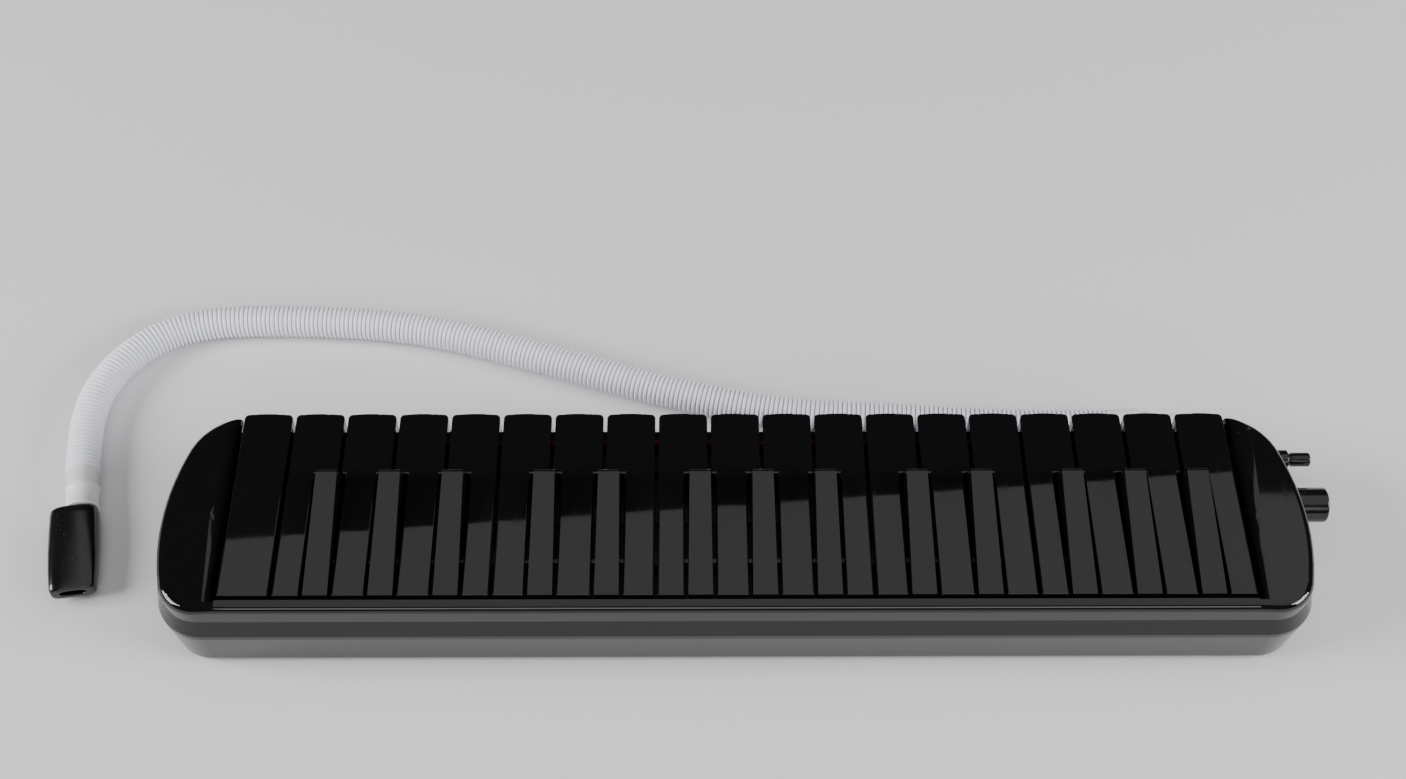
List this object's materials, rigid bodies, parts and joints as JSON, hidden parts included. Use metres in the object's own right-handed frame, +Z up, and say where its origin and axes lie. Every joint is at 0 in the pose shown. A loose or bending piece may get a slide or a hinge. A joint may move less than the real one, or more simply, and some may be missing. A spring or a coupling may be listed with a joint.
{
  "type": "melodica",
  "caption": "Keyed wind instrument with a black two-part case, sprung piano keys over a reed chest, a blow socket, a moisture valve and a loose corrugated hose with a flat mouthpiece.",
  "frame": {"origin": "on the table, under the middle of the instrument's length and depth, without its hose", "axes": "+X along the keyboard towards the low notes and the blow socket, +Y towards the player's side of the keys, +Z up"},
  "size_m": [0.4993, 0.1666, 0.0487],
  "materials": {
    "case_black": "polished black moulding",
    "key_black": "polished black moulding",
    "fitting_black": "gloss",
    "plate_black": "satin",
    "mouth_black": "satin gloss",
    "chest_black": "moulded matt",
    "guide_black": "moulded matt",
    "gasket_brown": "matt",
    "plate_brass": "rolled sheet",
    "reed_bronze": "filed strip",
    "rivet_brass": "headed",
    "spring_blued": "blued strip",
    "screw_steel": "zinc plated",
    "rod_steel": "drawn, blued",
    "spring_steel": "drawn wire",
    "felt_red": "felt",
    "seal_rubber": "matt",
    "strap_vinyl": "grained vinyl",
    "hose_white": "satin",
    "hose_end_white": "satin"
  },
  "bodies": {
    "case": {"blow_socket": "fitting_black", "case_screws": "screw_steel", "chest_screws": "screw_steel", "drain_sleeve": "fitting_black", "drain_spring": "spring_steel", "hand_strap": "strap_vinyl", "hose_cuff": "hose_end_white", "hose_plug": "hose_end_white", "hose_tube": "hose_white", "key_felt": "felt_red", "key_rod": "rod_steel", "lower_shell": "case_black", "mouthpiece": "mouth_black", "natural_guide": "guide_black", "reed_block": "chest_black", "reed_gasket": "gasket_brown", "reed_plate_high": "plate_brass", "reed_plate_low": "plate_brass", "reed_rivets": "rivet_brass", "reeds": "reed_bronze", "sharp_guide": "guide_black", "socket_seal": "seal_rubber", "spring_strip": "spring_blued", "strap_plates": "plate_black", "upper_shell": "case_black", "wind_cover": "chest_black"},
    "drain_button": {"drain_button": "fitting_black", "drain_seal": "seal_rubber"},
    "key_f3": {"key_f3": "key_black"},
    "key_fs3": {"key_fs3": "key_black"},
    "key_g3": {"key_g3": "key_black"},
    "key_gs3": {"key_gs3": "key_black"},
    "key_a3": {"key_a3": "key_black"},
    "key_as3": {"key_as3": "key_black"},
    "key_b3": {"key_b3": "key_black"},
    "key_c4": {"key_c4": "key_black"},
    "key_cs4": {"key_cs4": "key_black"},
    "key_d4": {"key_d4": "key_black"},
    "key_ds4": {"key_ds4": "key_black"},
    "key_e4": {"key_e4": "key_black"},
    "key_f4": {"key_f4": "key_black"},
    "key_fs4": {"key_fs4": "key_black"},
    "key_g4": {"key_g4": "key_black"},
    "key_gs4": {"key_gs4": "key_black"},
    "key_a4": {"key_a4": "key_black"},
    "key_as4": {"key_as4": "key_black"},
    "key_b4": {"key_b4": "key_black"},
    "key_c5": {"key_c5": "key_black"},
    "key_cs5": {"key_cs5": "key_black"},
    "key_d5": {"key_d5": "key_black"},
    "key_ds5": {"key_ds5": "key_black"},
    "key_e5": {"key_e5": "key_black"},
    "key_f5": {"key_f5": "key_black"},
    "key_fs5": {"key_fs5": "key_black"},
    "key_g5": {"key_g5": "key_black"},
    "key_gs5": {"key_gs5": "key_black"},
    "key_a5": {"key_a5": "key_black"},
    "key_as5": {"key_as5": "key_black"},
    "key_b5": {"key_b5": "key_black"},
    "key_c6": {"key_c6": "key_black"}
  },
  "joints": [
    {"name": "press_f3", "type": "hinge", "parent": "case", "child": "key_f3", "pos_m": [0, -0.01725, 0.0315], "axis": [-1, 0, 0], "range_deg": [0, 5], "stiffness_Nm_per_rad": 0.25, "springref_deg": -4.58},
    {"name": "press_fs3", "type": "hinge", "parent": "case", "child": "key_fs3", "pos_m": [0, -0.01725, 0.0315], "axis": [-1, 0, 0], "range_deg": [0, 5], "stiffness_Nm_per_rad": 0.25, "springref_deg": -4.58},
    {"name": "press_g3", "type": "hinge", "parent": "case", "child": "key_g3", "pos_m": [0, -0.01725, 0.0315], "axis": [-1, 0, 0], "range_deg": [0, 5], "stiffness_Nm_per_rad": 0.25, "springref_deg": -4.58},
    {"name": "press_gs3", "type": "hinge", "parent": "case", "child": "key_gs3", "pos_m": [0, -0.01725, 0.0315], "axis": [-1, 0, 0], "range_deg": [0, 5], "stiffness_Nm_per_rad": 0.25, "springref_deg": -4.58},
    {"name": "press_a3", "type": "hinge", "parent": "case", "child": "key_a3", "pos_m": [0, -0.01725, 0.0315], "axis": [-1, 0, 0], "range_deg": [0, 5], "stiffness_Nm_per_rad": 0.25, "springref_deg": -4.58},
    {"name": "press_as3", "type": "hinge", "parent": "case", "child": "key_as3", "pos_m": [0, -0.01725, 0.0315], "axis": [-1, 0, 0], "range_deg": [0, 5], "stiffness_Nm_per_rad": 0.25, "springref_deg": -4.58},
    {"name": "press_b3", "type": "hinge", "parent": "case", "child": "key_b3", "pos_m": [0, -0.01725, 0.0315], "axis": [-1, 0, 0], "range_deg": [0, 5], "stiffness_Nm_per_rad": 0.25, "springref_deg": -4.58},
    {"name": "press_c4", "type": "hinge", "parent": "case", "child": "key_c4", "pos_m": [0, -0.01725, 0.0315], "axis": [-1, 0, 0], "range_deg": [0, 5], "stiffness_Nm_per_rad": 0.25, "springref_deg": -4.58},
    {"name": "press_cs4", "type": "hinge", "parent": "case", "child": "key_cs4", "pos_m": [0, -0.01725, 0.0315], "axis": [-1, 0, 0], "range_deg": [0, 5], "stiffness_Nm_per_rad": 0.25, "springref_deg": -4.58},
    {"name": "press_d4", "type": "hinge", "parent": "case", "child": "key_d4", "pos_m": [0, -0.01725, 0.0315], "axis": [-1, 0, 0], "range_deg": [0, 5], "stiffness_Nm_per_rad": 0.25, "springref_deg": -4.58},
    {"name": "press_ds4", "type": "hinge", "parent": "case", "child": "key_ds4", "pos_m": [0, -0.01725, 0.0315], "axis": [-1, 0, 0], "range_deg": [0, 5], "stiffness_Nm_per_rad": 0.25, "springref_deg": -4.58},
    {"name": "press_e4", "type": "hinge", "parent": "case", "child": "key_e4", "pos_m": [0, -0.01725, 0.0315], "axis": [-1, 0, 0], "range_deg": [0, 5], "stiffness_Nm_per_rad": 0.25, "springref_deg": -4.58},
    {"name": "press_f4", "type": "hinge", "parent": "case", "child": "key_f4", "pos_m": [0, -0.01725, 0.0315], "axis": [-1, 0, 0], "range_deg": [0, 5], "stiffness_Nm_per_rad": 0.25, "springref_deg": -4.58},
    {"name": "press_fs4", "type": "hinge", "parent": "case", "child": "key_fs4", "pos_m": [0, -0.01725, 0.0315], "axis": [-1, 0, 0], "range_deg": [0, 5], "stiffness_Nm_per_rad": 0.25, "springref_deg": -4.58},
    {"name": "press_g4", "type": "hinge", "parent": "case", "child": "key_g4", "pos_m": [0, -0.01725, 0.0315], "axis": [-1, 0, 0], "range_deg": [0, 5], "stiffness_Nm_per_rad": 0.25, "springref_deg": -4.58},
    {"name": "press_gs4", "type": "hinge", "parent": "case", "child": "key_gs4", "pos_m": [0, -0.01725, 0.0315], "axis": [-1, 0, 0], "range_deg": [0, 5], "stiffness_Nm_per_rad": 0.25, "springref_deg": -4.58},
    {"name": "press_a4", "type": "hinge", "parent": "case", "child": "key_a4", "pos_m": [0, -0.01725, 0.0315], "axis": [-1, 0, 0], "range_deg": [0, 5], "stiffness_Nm_per_rad": 0.25, "springref_deg": -4.58},
    {"name": "press_as4", "type": "hinge", "parent": "case", "child": "key_as4", "pos_m": [0, -0.01725, 0.0315], "axis": [-1, 0, 0], "range_deg": [0, 5], "stiffness_Nm_per_rad": 0.25, "springref_deg": -4.58},
    {"name": "press_b4", "type": "hinge", "parent": "case", "child": "key_b4", "pos_m": [0, -0.01725, 0.0315], "axis": [-1, 0, 0], "range_deg": [0, 5], "stiffness_Nm_per_rad": 0.25, "springref_deg": -4.58},
    {"name": "press_c5", "type": "hinge", "parent": "case", "child": "key_c5", "pos_m": [0, -0.01725, 0.0315], "axis": [-1, 0, 0], "range_deg": [0, 5], "stiffness_Nm_per_rad": 0.25, "springref_deg": -4.58},
    {"name": "press_cs5", "type": "hinge", "parent": "case", "child": "key_cs5", "pos_m": [0, -0.01725, 0.0315], "axis": [-1, 0, 0], "range_deg": [0, 5], "stiffness_Nm_per_rad": 0.25, "springref_deg": -4.58},
    {"name": "press_d5", "type": "hinge", "parent": "case", "child": "key_d5", "pos_m": [0, -0.01725, 0.0315], "axis": [-1, 0, 0], "range_deg": [0, 5], "stiffness_Nm_per_rad": 0.25, "springref_deg": -4.58},
    {"name": "press_ds5", "type": "hinge", "parent": "case", "child": "key_ds5", "pos_m": [0, -0.01725, 0.0315], "axis": [-1, 0, 0], "range_deg": [0, 5], "stiffness_Nm_per_rad": 0.25, "springref_deg": -4.58},
    {"name": "press_e5", "type": "hinge", "parent": "case", "child": "key_e5", "pos_m": [0, -0.01725, 0.0315], "axis": [-1, 0, 0], "range_deg": [0, 5], "stiffness_Nm_per_rad": 0.25, "springref_deg": -4.58},
    {"name": "press_f5", "type": "hinge", "parent": "case", "child": "key_f5", "pos_m": [0, -0.01725, 0.0315], "axis": [-1, 0, 0], "range_deg": [0, 5], "stiffness_Nm_per_rad": 0.25, "springref_deg": -4.58},
    {"name": "press_fs5", "type": "hinge", "parent": "case", "child": "key_fs5", "pos_m": [0, -0.01725, 0.0315], "axis": [-1, 0, 0], "range_deg": [0, 5], "stiffness_Nm_per_rad": 0.25, "springref_deg": -4.58},
    {"name": "press_g5", "type": "hinge", "parent": "case", "child": "key_g5", "pos_m": [0, -0.01725, 0.0315], "axis": [-1, 0, 0], "range_deg": [0, 5], "stiffness_Nm_per_rad": 0.25, "springref_deg": -4.58},
    {"name": "press_gs5", "type": "hinge", "parent": "case", "child": "key_gs5", "pos_m": [0, -0.01725, 0.0315], "axis": [-1, 0, 0], "range_deg": [0, 5], "stiffness_Nm_per_rad": 0.25, "springref_deg": -4.58},
    {"name": "press_a5", "type": "hinge", "parent": "case", "child": "key_a5", "pos_m": [0, -0.01725, 0.0315], "axis": [-1, 0, 0], "range_deg": [0, 5], "stiffness_Nm_per_rad": 0.25, "springref_deg": -4.58},
    {"name": "press_as5", "type": "hinge", "parent": "case", "child": "key_as5", "pos_m": [0, -0.01725, 0.0315], "axis": [-1, 0, 0], "range_deg": [0, 5], "stiffness_Nm_per_rad": 0.25, "springref_deg": -4.58},
    {"name": "press_b5", "type": "hinge", "parent": "case", "child": "key_b5", "pos_m": [0, -0.01725, 0.0315], "axis": [-1, 0, 0], "range_deg": [0, 5], "stiffness_Nm_per_rad": 0.25, "springref_deg": -4.58},
    {"name": "press_c6", "type": "hinge", "parent": "case", "child": "key_c6", "pos_m": [0, -0.01725, 0.0315], "axis": [-1, 0, 0], "range_deg": [0, 5], "stiffness_Nm_per_rad": 0.25, "springref_deg": -4.58},
    {"name": "drain_press", "type": "slide", "parent": "case", "child": "drain_button", "axis": [-1, 0, 0], "range_m": [0, 0.0025], "stiffness_N_per_m": 300, "springref_m": -0.004, "deforming": ["drain_spring"]}
  ]
}
